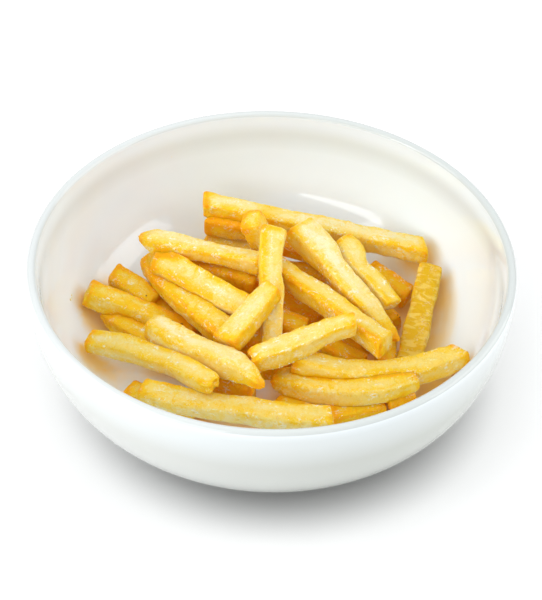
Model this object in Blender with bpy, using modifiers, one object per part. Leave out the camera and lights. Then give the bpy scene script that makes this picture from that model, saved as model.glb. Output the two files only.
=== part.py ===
"""A portion of french fries in its bowl.

Two solids, in metres with +Z up and the origin under the middle of the bowl:

* bowl   a wide, deep, round bowl with an even wall, a rounded rim and a low foot ring;
* fries  the heap as one solid: every fry at its place, joined over a low mound that fills the bowl's middle.

Sizes are written in millimetres and turned into metres by MM.
"""

import math
from dataclasses import dataclass

import bmesh
import bpy
from mathutils import Vector

MM = 0.001

# Bowl: driving dimensions, millimetres
RIM_RADIUS = 100.0
BOWL_HEIGHT = 64.0
SIDE_LENGTH = 83.0  # measured down the outside, from the rim to the flat underside
RIM_LEAN = math.radians(-2.2)  # the outside leans outwards by this much just under the rim
SIDE_CURL = 1.45  # how late the side turns in: 1 is a round arc, more keeps the rim upright for longer
WALL_AT_RIM = 5.0
WALL_AT_BASE = 6.0
FOOT_OUTER_RADIUS = 53.0
FOOT_INNER_RADIUS = 46.0
FOOT_RECESS = 2.2  # how far the underside inside the foot ring is above the table
SIDE_STEPS = 13
RIM_STEPS = 4
TURNS = 64  # facets round the bowl

# Heap: driving dimensions, millimetres
HEAP_GAP = 0.4  # between the heap and the bowl's inside
MOUND_RADIUS = 60.0
MOUND_HEIGHT = 15.0
GRAIN = 2.1  # size of the cubes that the fries are joined by
HEAP_FACES = 4800
FRY_STATIONS = 6


@dataclass(frozen=True)
class Fry:
    """One fry, in millimetres: the middles of its two ends, its section and how it is bent."""

    start: tuple
    end: tuple
    width: float
    thickness: float
    bow: float = 0.0  # sideways bend at the middle, to the right of the way it runs
    sag: float = 0.0  # upward bend at the middle
    blunt: tuple = (1.0, 1.0)  # section at each end, as a share of the full one
    point: tuple = (0.0, 0.0)  # share of the length over which each end narrows to a tip


LEFT_FAN = (
    Fry((-58, -32, 15.5), (-30, -42, 14), 9, 8.5),
    Fry((-73, 12, 19.5), (-35, -12, 14), 8.5, 8, point=(0.2, 0)),
    Fry((-79, 17, 26), (-32, 3, 16), 9.5, 8.5),
    Fry((-69, 31, 24), (-50, 19, 19), 9.5, 8.5),
    Fry((-76, -8.5, 21.5), (-22, -43.5, 32), 8.8, 7.5, bow=-4),
    Fry((-53.5, 40.5, 25.5), (-18, -8, 27.5), 12, 9, bow=2.5),
    Fry((-49.5, 31.5, 33), (-9, 2, 32), 11.5, 8.5),
    Fry((-50, -6, 30), (-3, -42, 34), 10.8, 8.6, point=(0, 0.2)),
    Fry((-58, 38, 40), (-4, 28, 36), 9, 7.2, point=(0.13, 0)),
    Fry((-37, 35, 29), (-7, 26, 27), 9.5, 8),
)
FRONT = (
    Fry((-52, -38, 23), (26, -51.5, 22.5), 10, 8.5, bow=3),
    Fry((-22, -27, 16), (-6, -30, 14), 9, 8),
    Fry((-29, -25, 24), (-6, -35, 22), 9, 8),
    Fry((3, -36, 14), (20, -42, 14), 9, 8),
    Fry((25, -42, 14), (48, -34, 14), 9, 8),
    Fry((49, -35, 16.5), (59, -30, 17.5), 8, 8),
    Fry((2, -25, 20), (61, -29, 24), 10, 8.5, bow=7, sag=-1, blunt=(1.0, 0.85)),
    Fry((10, -23, 28), (80, -14, 25.5), 10, 9, bow=6, sag=-5, blunt=(1.0, 0.9)),
)
CENTRE = (
    Fry((-1, 38, 46.5), (1, -16, 25), 9.8, 8, blunt=(1.1, 1.0)),
    Fry((1, 5, 42), (-18, -21, 34), 10, 8.5),
    Fry((-8, -29, 33), (35, -13, 40.5), 10, 9, blunt=(1.0, 0.85)),
    Fry((0, 34, 31), (48, -16, 31), 10.5, 8.5),
    Fry((-1, 26, 16), (21, 17, 14), 10, 8.5),
    Fry((0, 8, 22), (15, 2, 20), 10, 8.5),
    Fry((20, -2, 20), (39, -13, 16), 10, 8.5),
)
BACK = (
    Fry((-31, 66, 36), (67, 48, 27.5), 9.7, 9.4),
    Fry((-25, 62, 27.5), (0, 58, 28.5), 9, 8),
    Fry((-31, 59, 19), (-5, 53, 18), 9, 8),
    Fry((-10, 48, 44), (-2, 46, 29), 10.5, 8.5),
    Fry((5, 51, 27), (25, 45, 24), 9, 8),
    Fry((5, 43, 19), (24, 39, 17.5), 8, 8),
)
RIGHT = (
    Fry((11, 48, 40), (54, -6, 24), 10.5, 8.5, blunt=(1.12, 0.8), point=(0, 0.3)),
    Fry((29, 44.5, 34.5), (52, 13, 27), 9, 8.2, blunt=(1.0, 0.8)),
    Fry((42, 42, 21), (60, 29, 17), 9, 8),
    Fry((42, 27, 16), (53, 13, 15), 9, 8),
    Fry((69, 38, 26), (58, -14, 15), 10.5, 8.5),
)
UNDERNEATH = (
    Fry((-42, 30, 15), (-4, 22, 14), 9, 8.5),
    Fry((-27, 14, 14), (9, -10, 14), 9, 8.5),
    Fry((20, 34, 15), (45, 4, 14), 9, 8.5),
    Fry((-18, 44, 15), (14, 34, 14), 9, 8.5),
    Fry((48, 13, 15), (50, -13, 14), 9, 8.5),
    Fry((-51, 24, 15), (-33, -6, 14), 9, 8.5),
)
ALL_FRIES = LEFT_FAN + FRONT + CENTRE + BACK + RIGHT + UNDERNEATH


def clear_scene():
    """Remove what the start-up scene holds."""
    for thing in list(bpy.data.objects):
        bpy.data.objects.remove(thing, do_unlink=True)


def make_collection(name):
    """A collection in the scene."""
    collection = bpy.data.collections.new(name)
    bpy.context.scene.collection.children.link(collection)
    return collection


def make_material(name, colour, roughness):
    """A Principled material with one colour."""
    material = bpy.data.materials.new(name)
    material.use_nodes = True
    shader = material.node_tree.nodes["Principled BSDF"]
    shader.inputs["Base Color"].default_value = (*colour, 1.0)
    shader.inputs["Roughness"].default_value = roughness
    shader.inputs["Metallic"].default_value = 0.0
    material.diffuse_color = (*colour, 1.0)
    return material


def side_curve():
    """The outside of the bowl from the rim down, as (radius, height, angle off the vertical)."""
    points = []
    radius, height, angle = RIM_RADIUS, BOWL_HEIGHT, RIM_LEAN
    fine = 8  # small steps between two kept points
    step = SIDE_LENGTH / (SIDE_STEPS * fine)
    for index in range(SIDE_STEPS * fine + 1):
        if index % fine == 0:
            points.append((radius, height, angle))
        travelled = (index + 0.5) * step / SIDE_LENGTH
        angle = RIM_LEAN + (math.pi / 2 - RIM_LEAN) * travelled ** SIDE_CURL
        radius -= math.sin(angle) * step
        height -= math.cos(angle) * step
    return points


def inside_curve(gap=0.0):
    """The inside of the bowl from the rim down, as (radius, height), moved off the wall by gap."""
    points = []
    side = side_curve()
    for index, (radius, height, angle) in enumerate(side):
        wall = WALL_AT_RIM + (WALL_AT_BASE - WALL_AT_RIM) * index / (len(side) - 1) + gap
        points.append((radius - math.cos(angle) * wall, height + math.sin(angle) * wall))
    return points


def turned(name, profile, collection):
    """A solid of revolution from a profile of (radius, height) points that starts and ends on the axis."""
    mesh = bpy.data.meshes.new(name)
    points = [(radius * MM, 0.0, height * MM) for radius, height in profile]
    edges = [(index, index + 1) for index in range(len(points) - 1)]
    mesh.from_pydata(points, edges, [])
    body = bpy.data.objects.new(name, mesh)
    collection.objects.link(body)
    screw = body.modifiers.new("Turn", "SCREW")
    screw.steps = TURNS
    screw.render_steps = TURNS
    screw.use_merge_vertices = True
    screw.merge_threshold = 0.00001
    return body


def settle_modifiers(body):
    """Turn an object's evaluated shape into its mesh, and drop the modifiers."""
    graph = bpy.context.evaluated_depsgraph_get()
    mesh = bpy.data.meshes.new_from_object(body.evaluated_get(graph))
    old = body.data
    body.modifiers.clear()
    body.data = mesh
    bpy.data.meshes.remove(old)


def bowl_profile():
    """Up the inside from the axis, over the rounded rim, down the outside and under the foot ring."""
    outside = [(radius, height) for radius, height, _ in side_curve()]
    inside = inside_curve()
    floor_height = inside[-1][1]
    profile = [(0.0, floor_height), (inside[-1][0] / 2, floor_height)]
    profile += reversed(inside[1:])
    rim_radius = WALL_AT_RIM / 2
    rim_middle = (RIM_RADIUS - rim_radius, BOWL_HEIGHT - rim_radius)
    for step in range(RIM_STEPS + 1):
        angle = math.pi * (1 - step / RIM_STEPS)
        across = rim_middle[0] + rim_radius * math.cos(angle)
        profile.append((across, rim_middle[1] + rim_radius * math.sin(angle)))
    profile += outside[1:]
    profile += [
        (FOOT_OUTER_RADIUS + 0.6, 1.2),
        (FOOT_OUTER_RADIUS - 0.6, 0.0),
        (FOOT_INNER_RADIUS + 0.6, 0.0),
        (FOOT_INNER_RADIUS - 0.6, FOOT_RECESS),
        (0.0, FOOT_RECESS),
    ]
    return profile


def make_bowl(collection):
    """The bowl, turned in one piece."""
    bowl = turned("bowl", bowl_profile(), collection)
    settle_modifiers(bowl)
    bowl.data.shade_smooth()
    bowl.data.set_sharp_from_angle(angle=math.radians(40))
    return bowl


def end_share(fry, share):
    """How wide the fry is at a share of its length, against its full section."""
    size = fry.blunt[0] + (fry.blunt[1] - fry.blunt[0]) * share
    for length, run in zip(fry.point, (share, 1 - share)):
        if length > 0:
            size *= min(1.0, 0.2 + 0.8 * run / length)
    return size


def add_fry(shape, fry):
    """Add one fry to a bmesh: a long box, cut across at its stations and bent onto its middle line."""
    start = Vector(fry.start)
    run = Vector(fry.end) - start
    side = run.cross(Vector((0, 0, 1))).normalized()
    box = bmesh.new()
    bmesh.ops.create_cube(box, size=1.0)
    for station in range(1, FRY_STATIONS):
        everything = box.verts[:] + box.edges[:] + box.faces[:]
        cut = Vector((station / FRY_STATIONS - 0.5, 0, 0))
        bmesh.ops.bisect_plane(box, geom=everything, plane_co=cut, plane_no=(1, 0, 0))
    for corner in box.verts:
        share = corner.co.x + 0.5
        rise = 4 * share * (1 - share)
        slope = run + (side * fry.bow + Vector((0, 0, fry.sag))) * 4 * (1 - 2 * share)
        across = slope.cross(Vector((0, 0, 1))).normalized()
        upward = across.cross(slope).normalized()
        size = end_share(fry, share)
        middle = start + run * share + (side * fry.bow + Vector((0, 0, fry.sag))) * rise
        offset = across * corner.co.y * fry.width * size + upward * corner.co.z * fry.thickness * size
        corner.co = (middle + offset) * MM
    bmesh.ops.recalc_face_normals(box, faces=box.faces)
    piece = bpy.data.meshes.new("piece")
    box.to_mesh(piece)
    box.free()
    shape.from_mesh(piece)
    bpy.data.meshes.remove(piece)


def mound_profile():
    """The mound under the fries: a low dome on top, the bowl's inside below."""
    floor = [point for point in inside_curve(HEAP_GAP * 2) if point[0] < MOUND_RADIUS]
    edge_radius, edge_height = floor[0]
    top = []
    steps = 6
    for step in range(steps):
        share = step / steps
        top.append((edge_radius * share, edge_height + MOUND_HEIGHT * (1 - share * share)))
    return top + floor + [(0.0, floor[-1][1])]


def keep_outer_skin(body):
    """Drop every shell but the largest, so that pockets closed in between the fries are filled."""
    shape = bmesh.new()
    shape.from_mesh(body.data)
    waiting = set(shape.verts)
    shells = []
    while waiting:
        seed = waiting.pop()
        shell = {seed}
        front = [seed]
        while front:
            vertex = front.pop()
            for edge in vertex.link_edges:
                other = edge.other_vert(vertex)
                if other in waiting:
                    waiting.remove(other)
                    shell.add(other)
                    front.append(other)
        shells.append(shell)
    shells.sort(key=len)
    for shell in shells[:-1]:
        bmesh.ops.delete(shape, geom=list(shell), context="VERTS")
    shape.to_mesh(body.data)
    shape.free()


def make_heap(collection, cutters):
    """All the fries and the mound joined into one solid, clear of the bowl by HEAP_GAP."""
    mound = turned("mound", mound_profile(), cutters)
    settle_modifiers(mound)
    shape = bmesh.new()
    shape.from_mesh(mound.data)
    for fry in ALL_FRIES:
        add_fry(shape, fry)
    mesh = bpy.data.meshes.new("fries")
    shape.to_mesh(mesh)
    shape.free()
    bpy.data.objects.remove(mound, do_unlink=True)
    heap = bpy.data.objects.new("fries", mesh)
    collection.objects.link(heap)

    join = heap.modifiers.new("Join", "REMESH")
    join.mode = "VOXEL"
    join.voxel_size = GRAIN * MM
    settle_modifiers(heap)
    keep_outer_skin(heap)
    thin = heap.modifiers.new("Thin", "DECIMATE")
    thin.ratio = HEAP_FACES / sum(len(face.vertices) - 2 for face in heap.data.polygons)
    settle_modifiers(heap)

    hollow = inside_curve(HEAP_GAP)
    lid = BOWL_HEIGHT + 20
    space = [(0.0, lid), (hollow[0][0], lid)] + hollow + [(0.0, hollow[-1][1])]
    cutter = turned("bowl_space", space, cutters)
    cutter.hide_render = True
    cutter.display_type = "WIRE"
    trim = heap.modifiers.new("Trim", "BOOLEAN")
    trim.operation = "INTERSECT"
    trim.object = cutter
    return heap


def main():
    """Build the portion."""
    clear_scene()
    portion = make_collection("french_fries_portion")
    cutters = make_collection("cutters")
    bowl = make_bowl(portion)
    bowl.data.materials.append(make_material("white_glaze", (0.86, 0.86, 0.83), 0.12))
    heap = make_heap(portion, cutters)
    heap.data.materials.append(make_material("fried_potato", (0.90, 0.62, 0.18), 0.5))


main()
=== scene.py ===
"""A portion of french fries in its bowl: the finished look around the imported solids.

The bowl is turned finely from the same side rule as its solid and dressed in white glaze. The heap is made
as separate fries, each with its own bend, section, ends and skin, over a small mound, with burnt marks near
some ends. Salt, browned specks and crumbs cling to the fries, most of them underneath. Layout sizes are in
millimetres and turned into metres by MM.
"""

import logging
import math
import random
from dataclasses import dataclass
from enum import Enum

import bmesh
import bpy
import numpy as np
from mathutils import Matrix, Vector, noise
from mathutils.bvhtree import BVHTree


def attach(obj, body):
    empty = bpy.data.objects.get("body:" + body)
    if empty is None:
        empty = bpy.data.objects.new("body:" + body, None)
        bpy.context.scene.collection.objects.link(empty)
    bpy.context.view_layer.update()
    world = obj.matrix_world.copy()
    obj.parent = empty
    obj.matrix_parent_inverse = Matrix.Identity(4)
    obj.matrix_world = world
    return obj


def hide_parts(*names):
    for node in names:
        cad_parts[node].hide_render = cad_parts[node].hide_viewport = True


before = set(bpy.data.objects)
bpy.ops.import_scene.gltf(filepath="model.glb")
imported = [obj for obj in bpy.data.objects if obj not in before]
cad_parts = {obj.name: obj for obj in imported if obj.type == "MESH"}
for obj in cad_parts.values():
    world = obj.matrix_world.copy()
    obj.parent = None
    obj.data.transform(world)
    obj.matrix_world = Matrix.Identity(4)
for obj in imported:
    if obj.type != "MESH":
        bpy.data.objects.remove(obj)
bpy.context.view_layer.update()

MM = 0.001
LOG = logging.getLogger("fries_portion")


# ---------------------------------------------------------------- shader tools


class Shader:
    """A material's node tree, written from left to right."""

    def __init__(self, name: str) -> None:
        """Start a material with an empty Principled shader.

        Args:
            name: The material's name.
        """
        self.material = bpy.data.materials.new(name)
        self.material.use_nodes = True
        self.tree = self.material.node_tree
        self.surface = self.tree.nodes["Principled BSDF"]

    def node(self, kind: str, **settings) -> bpy.types.Node:
        """Add a node and set its properties."""
        made = self.tree.nodes.new(kind)
        for key, value in settings.items():
            setattr(made, key, value)
        return made

    def link(self, source, target) -> None:
        """Join an output to an input."""
        self.tree.links.new(source, target)

    def feed(self, socket, value) -> None:
        """Give an input a link when the value is an output, and a constant otherwise."""
        if isinstance(value, bpy.types.NodeSocket):
            self.link(value, socket)
        else:
            socket.default_value = value

    def math(self, operation: str, first, second=0.0, third=0.0):
        """A Math node's output."""
        made = self.node("ShaderNodeMath", operation=operation)
        self.feed(made.inputs[0], first)
        self.feed(made.inputs[1], second)
        if operation == "MULTIPLY_ADD":
            self.feed(made.inputs[2], third)
        return made.outputs[0]

    def stretch(self, value, low: float, high: float, out_low: float = 0.0, out_high: float = 1.0):
        """Map a range onto another with a soft step, clamped."""
        made = self.node("ShaderNodeMapRange", interpolation_type="SMOOTHSTEP")
        self.feed(made.inputs["Value"], value)
        limits = {"From Min": low, "From Max": high, "To Min": out_low, "To Max": out_high}
        for name, number in limits.items():
            made.inputs[name].default_value = number
        return made.outputs["Result"]

    def ramp(self, value, stops: tuple):
        """A colour ramp's output.

        Args:
            value: What runs along it.
            stops: (place, colour) pairs in order.
        """
        made = self.node("ShaderNodeValToRGB")
        self.feed(made.inputs[0], value)
        band = made.color_ramp
        band.interpolation = "EASE"
        while len(band.elements) < len(stops):
            band.elements.new(1.0)
        for element, (place, colour) in zip(band.elements, stops):
            element.position = place
            element.color = colour
        return made.outputs[0]

    def mix(self, share, first, second):
        """A colour mix."""
        made = self.node("ShaderNodeMix", data_type="RGBA", blend_type="MIX", clamp_factor=True)
        self.feed(made.inputs[0], share)
        self.feed(made.inputs[6], first)
        self.feed(made.inputs[7], second)
        return made.outputs[2]

    def place(self, stretch=(1.0, 1.0, 1.0), shift=(0.0, 0.0, 0.0), attribute: str = ""):
        """Object coordinates, or a vector attribute's, scaled and shifted."""
        if attribute:
            source = self.node("ShaderNodeAttribute", attribute_name=attribute).outputs["Vector"]
        else:
            source = self.node("ShaderNodeTexCoord").outputs["Object"]
        mapping = self.node("ShaderNodeMapping")
        mapping.inputs["Scale"].default_value = stretch
        mapping.inputs["Location"].default_value = shift
        self.link(source, mapping.inputs["Vector"])
        return mapping.outputs["Vector"]

    def noise(self, place, size_mm: float, detail: float = 2.0, rough: float = 0.5, bend: float = 0.0):
        """Noise whose lumps are about size_mm across."""
        made = self.node("ShaderNodeTexNoise")
        self.link(place, made.inputs["Vector"])
        made.inputs["Scale"].default_value = 1.0 / (size_mm * MM)
        made.inputs["Detail"].default_value = detail
        made.inputs["Roughness"].default_value = rough
        made.inputs["Distortion"].default_value = bend
        return made.outputs["Fac"]

    def cells(self, place, size_mm: float, feature: str = "F1"):
        """Distance to scattered points about size_mm apart."""
        made = self.node("ShaderNodeTexVoronoi", feature=feature)
        self.link(place, made.inputs["Vector"])
        made.inputs["Scale"].default_value = 1.0 / (size_mm * MM)
        made.inputs["Randomness"].default_value = 1.0
        return made

    def bump(self, height, depth_mm: float, strength: float = 1.0, over=None):
        """Raise the surface by a height map, on top of another bump where one is given."""
        made = self.node("ShaderNodeBump")
        made.inputs["Strength"].default_value = strength
        made.inputs["Distance"].default_value = depth_mm * MM
        self.feed(made.inputs["Height"], height)
        if over is not None:
            self.link(over, made.inputs["Normal"])
        return made.outputs["Normal"]


# ---------------------------------------------------------------- finishes


@dataclass(frozen=True)
class Glaze:
    """Glossy white glaze: a faint warm cloud, slight waves and pinholes, with painted warm bounce light and
    shade where the food lies and painted shade on the outside.
    """

    colour: tuple = (0.84, 0.91, 0.955, 1)
    cloud: tuple = (0.84, 0.90, 0.93, 1)
    painted_bounce: tuple = (1.0, 0.70, 0.20, 1)
    outer_shade_left: tuple = (0.61, 0.63, 0.605, 1)
    outer_shade_right: tuple = (0.515, 0.54, 0.50, 1)
    speck: tuple = (0.33, 0.30, 0.26, 1)
    roughness: float = 0.08

    def make(self) -> bpy.types.Material:
        """Build the material.

        Returns:
            The glaze.
        """
        pen = Shader("white_glaze")
        here = pen.place()
        cloud = pen.stretch(pen.noise(here, 45, 2), 0.35, 0.7)
        colour = pen.mix(cloud, self.colour, self.cloud)
        # Painted shade: the outside and the lip's top are darker than the inside, and the outside darkens
        # from left to right.
        outside = pen.node("ShaderNodeAttribute", attribute_name="outside").outputs["Fac"]
        across = pen.node("ShaderNodeSeparateXYZ")
        pen.link(here, across.inputs[0])
        outer = pen.mix(pen.stretch(across.outputs["X"], -0.07, 0.06), self.outer_shade_left, self.outer_shade_right)
        colour = pen.mix(outside, colour, outer)
        # Painted warm bounce light and shade: the glaze turns orange where the fries lie close round it.
        food = pen.node("ShaderNodeAttribute", attribute_name="painted_food_bounce").outputs["Fac"]
        patch = pen.stretch(pen.noise(here, 14, 2), 0.3, 0.75, 0.75, 1.0)
        colour = pen.mix(pen.math("MULTIPLY", food, patch), colour, self.painted_bounce)
        points = pen.cells(here, 9.0)
        size = pen.stretch(points.outputs["Color"], 0.9, 1.0, 0.0, 0.05)
        spots = pen.math("LESS_THAN", points.outputs["Distance"], size)
        colour = pen.mix(pen.math("MULTIPLY", spots, 0.4), colour, self.speck)
        pen.link(colour, pen.surface.inputs["Base Color"])
        gloss = pen.stretch(pen.noise(here, 25, 3), 0.3, 0.8, self.roughness * 0.8, self.roughness * 1.3)
        pen.link(gloss, pen.surface.inputs["Roughness"])
        pen.surface.inputs["IOR"].default_value = 1.55
        pen.surface.inputs["Coat Weight"].default_value = 0.5
        pen.surface.inputs["Coat Roughness"].default_value = 0.05
        waves = pen.bump(pen.noise(here, 16, 1), 0.10, 0.35)
        pen.link(pen.bump(pen.noise(here, 1.6, 2), 0.012, 0.25, waves), pen.surface.inputs["Normal"])
        return pen.material


@dataclass(frozen=True)
class FriedSkin:
    """The skin of a fry: pale faces, gold sides, amber edges and ends, blisters and freckles, with painted
    shade by facing and in nooks.
    """

    name: str = "fried_potato"
    cream: tuple = (0.96, 0.835, 0.53, 1)
    straw: tuple = (0.96, 0.765, 0.33, 1)
    butter: tuple = (0.97, 0.69, 0.15, 1)
    gold: tuple = (0.97, 0.60, 0.014, 1)
    amber: tuple = (0.99, 0.44, 0.002, 1)
    toast: tuple = (0.82, 0.38, 0.010, 1)
    bar: tuple = (0.92, 0.66, 0.13, 1)
    fleck: tuple = (0.97, 0.94, 0.80, 1)
    brown: tuple = (0.34, 0.10, 0.004, 1)
    olive: tuple = (0.78, 0.46, 0.005, 1)
    glow: float = 0.60

    def make(self) -> bpy.types.Material:
        """Build the material.

        Returns:
            The skin, which reads the fries' grain and skin attributes and their painted facing and nook
            shades.
        """
        pen = Shader(self.name)
        along = pen.place((0.3, 1, 1), attribute="grain")
        around = pen.place(attribute="grain")
        skin = pen.node("ShaderNodeAttribute", attribute_name="skin")
        parts = pen.node("ShaderNodeSeparateColor")
        pen.link(skin.outputs["Color"], parts.inputs["Color"])
        tone, edge, end = parts.outputs["Red"], parts.outputs["Green"], parts.outputs["Blue"]
        rough = skin.outputs["Alpha"]
        facing_shade = pen.node("ShaderNodeAttribute", attribute_name="facing_shade").outputs["Fac"]
        nook_shade = pen.node("ShaderNodeAttribute", attribute_name="nook_shade").outputs["Fac"]

        clouds = pen.noise(along, 6.0, 3, 0.6, 0.6)
        blotch = pen.noise(around, 2.4, 3, 0.6, 0.5)
        fine = pen.noise(around, 0.6, 3, 0.7, 0.3)
        worn = pen.stretch(pen.noise(around, 3.4, 3, 0.6), 0.42, 0.60)
        line = pen.math("MULTIPLY", pen.math("POWER", edge, 4.0), worn)

        # Painted shade: the facing and nook terms below push the skin towards gold and amber.
        depth = pen.math("MULTIPLY_ADD", tone, 0.50, -0.185)
        depth = pen.math("MULTIPLY_ADD", facing_shade, 0.46, depth)
        depth = pen.math("MULTIPLY_ADD", nook_shade, 1.5, depth)
        depth = pen.math("MULTIPLY_ADD", pen.math("MULTIPLY", end, worn), 0.05, depth)
        for cloud, share in ((clouds, 0.50), (blotch, 0.40), (fine, 0.50)):
            depth = pen.math("MULTIPLY_ADD", pen.math("SUBTRACT", cloud, 0.5), share, depth)
        torn = pen.stretch(pen.noise(around, 4.2, 4, 0.62, 0.9), 0.47, 0.53, -0.09, 0.09)
        patchy = pen.stretch(pen.noise(along, 9.0, 1), 0.46, 0.62, 0.1, 1.0)
        depth = pen.math("MULTIPLY_ADD", torn, patchy, depth)
        shades = (self.cream, self.straw, self.butter, self.gold, self.amber)
        colour = pen.ramp(depth, tuple(zip((0.0, 0.20, 0.40, 0.62, 1.0), shades)))
        toasted = pen.math("MULTIPLY", line, pen.stretch(pen.noise(around, 5.0, 3), 0.60, 0.74))
        singed = pen.math("MULTIPLY", end, pen.stretch(worn, 0.4, 1.0, 0.0, 0.35))
        toasted = pen.math("MAXIMUM", toasted, singed)
        colour = pen.mix(pen.math("MULTIPLY", toasted, 0.55), colour, self.toast)
        barred = pen.stretch(rough, 0.75, 1.0)
        greener = pen.math("MULTIPLY", barred, pen.stretch(line, 0.1, 0.5, 0.95, 0.5))
        colour = pen.mix(greener, colour, self.olive)

        blister = pen.cells(around, 1.2, "SMOOTH_F1")
        dots = pen.stretch(blister.outputs["Distance"], 0.12, 0.42, 0.6, 0.0)
        where = pen.stretch(pen.noise(around, 4.6, 2), 0.50, 0.66)
        veil = pen.stretch(pen.noise(pen.place((0.6, 1, 1), attribute="grain"), 1.8, 3, 0.7, 1.0), 0.56, 0.62)
        chips = pen.math("MULTIPLY", pen.stretch(pen.noise(around, 1.1, 2, 0.6, 0.6), 0.63, 0.70), edge)
        pale = pen.math("MULTIPLY", pen.math("MAXIMUM", dots, veil), where)
        pale = pen.math("MULTIPLY", pale, pen.math("MULTIPLY_ADD", rough, 0.6, 0.7))
        pale = pen.math("MAXIMUM", pale, chips)
        banded = pen.place((1.3, 0.5, 0.5), attribute="grain")
        bars = pen.stretch(pen.noise(banded, 2.6, 2, 0.5, 0.5), 0.46, 0.62)
        bars = pen.math("MULTIPLY", bars, barred)
        colour = pen.mix(pen.math("MULTIPLY", bars, 0.8), colour, self.bar)
        pale = pen.math("MULTIPLY", pale, pen.stretch(rough, 0.75, 1.0, 1.0, 0.3))
        # Fewer pale flecks where the painted nook shade is deep.
        pale = pen.math("MULTIPLY", pale, pen.stretch(nook_shade, 0.1, 0.6, 1.0, 0.15))
        colour = pen.mix(pale, colour, self.fleck)

        freckle = pen.cells(around, 6.5)
        chosen = pen.stretch(freckle.outputs["Color"], 0.88, 1.0, 0.0, 0.055)
        spot = pen.math("SUBTRACT", chosen, freckle.outputs["Distance"])
        colour = pen.mix(pen.stretch(spot, 0.0, 0.03), colour, self.brown)
        pen.link(colour, pen.surface.inputs["Base Color"])

        pen.link(pen.stretch(blotch, 0.3, 0.75, 0.42, 0.26), pen.surface.inputs["Roughness"])
        pen.surface.inputs["Specular IOR Level"].default_value = 0.16
        pen.surface.inputs["Subsurface Weight"].default_value = self.glow
        pen.surface.inputs["Subsurface Radius"].default_value = (1.0, 0.75, 0.25)
        pen.surface.inputs["Subsurface Scale"].default_value = 1.6 * MM

        bumps = pen.bump(pen.math("MULTIPLY", dots, rough), 0.16, 0.6)
        bumps = pen.bump(bars, 0.35, 0.8, bumps)
        bumps = pen.bump(torn, 0.6, 0.5, bumps)
        bumps = pen.bump(blotch, 0.80, 1.0, bumps)
        pen.link(pen.bump(fine, 0.40, 1.0, bumps), pen.surface.inputs["Normal"])
        return pen.material


@dataclass(frozen=True)
class Crystal:
    """Salt: small clear-white grains."""

    colour: tuple = (0.93, 0.92, 0.88, 1)

    def make(self) -> bpy.types.Material:
        """Build the material."""
        pen = Shader("salt_grain")
        shade = pen.stretch(pen.noise(pen.place(), 1.2, 1), 0.3, 0.7)
        colour = pen.mix(shade, self.colour, (0.86, 0.82, 0.70, 1))
        pen.link(colour, pen.surface.inputs["Base Color"])
        pen.surface.inputs["Roughness"].default_value = 0.25
        pen.surface.inputs["Subsurface Weight"].default_value = 0.3
        pen.surface.inputs["Subsurface Scale"].default_value = 0.5 * MM
        return pen.material


@dataclass(frozen=True)
class Flake:
    """Crumbs: pale dry flakes of the fries' own skin."""

    pale: tuple = (0.97, 0.93, 0.76, 1)
    gold: tuple = (0.93, 0.70, 0.20, 1)

    def make(self) -> bpy.types.Material:
        """Build the material."""
        pen = Shader("crumb_flake")
        shade = pen.stretch(pen.noise(pen.place(), 2.2, 2), 0.40, 0.72)
        pen.link(pen.mix(shade, self.pale, self.gold), pen.surface.inputs["Base Color"])
        pen.surface.inputs["Roughness"].default_value = 0.5
        pen.surface.inputs["Subsurface Weight"].default_value = 0.4
        pen.surface.inputs["Subsurface Scale"].default_value = 0.8 * MM
        pen.link(pen.bump(pen.noise(pen.place(), 0.3, 2), 0.04, 0.6), pen.surface.inputs["Normal"])
        return pen.material


@dataclass(frozen=True)
class Char:
    """Browned or burnt specks and crumbs."""

    name: str = "burnt_speck"
    light: tuple = (0.34, 0.15, 0.04, 1)
    dark: tuple = (0.05, 0.025, 0.01, 1)

    def make(self) -> bpy.types.Material:
        """Build the material."""
        pen = Shader(self.name)
        shade = pen.stretch(pen.noise(pen.place(), 2.5, 2), 0.35, 0.65)
        pen.link(pen.mix(shade, self.dark, self.light), pen.surface.inputs["Base Color"])
        pen.surface.inputs["Roughness"].default_value = 0.6
        pen.link(pen.bump(pen.noise(pen.place(), 0.4, 2), 0.05, 0.6), pen.surface.inputs["Normal"])
        return pen.material


# ---------------------------------------------------------------- mesh tools


def add_object(name: str, mesh: bpy.types.Mesh, material: bpy.types.Material) -> bpy.types.Object:
    """Put a mesh in the scene with one material.

    Args:
        name: The object's name.
        mesh: Its mesh, already in place.
        material: Its only material.

    Returns:
        The object, at the origin.
    """
    mesh.materials.clear()
    mesh.materials.append(material)
    made = bpy.data.objects.new(name, mesh)
    bpy.context.scene.collection.objects.link(made)
    return made


def scattered_ways(rng: random.Random, count: int) -> list[Vector]:
    """Unit vectors pointing every way, in the random source's order."""
    return [Vector((rng.gauss(0, 1), rng.gauss(0, 1), rng.gauss(0, 1))).normalized() for _ in range(count)]


def bake_modifiers(item: bpy.types.Object) -> None:
    """Turn an object's evaluated shape into its mesh and drop the modifiers."""
    graph = bpy.context.evaluated_depsgraph_get()
    mesh = bpy.data.meshes.new_from_object(item.evaluated_get(graph))
    item.modifiers.clear()
    item.data = mesh


def hand_over(item: bpy.types.Object) -> None:
    """Give a finished piece to the portion's one body and report it.

    Args:
        item: The piece.
    """
    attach(item, "root")
    triangles = sum(len(face.vertices) - 2 for face in item.data.polygons)
    LOG.info("%s: %d triangles", item.name, triangles)


# ---------------------------------------------------------------- bowl


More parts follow.
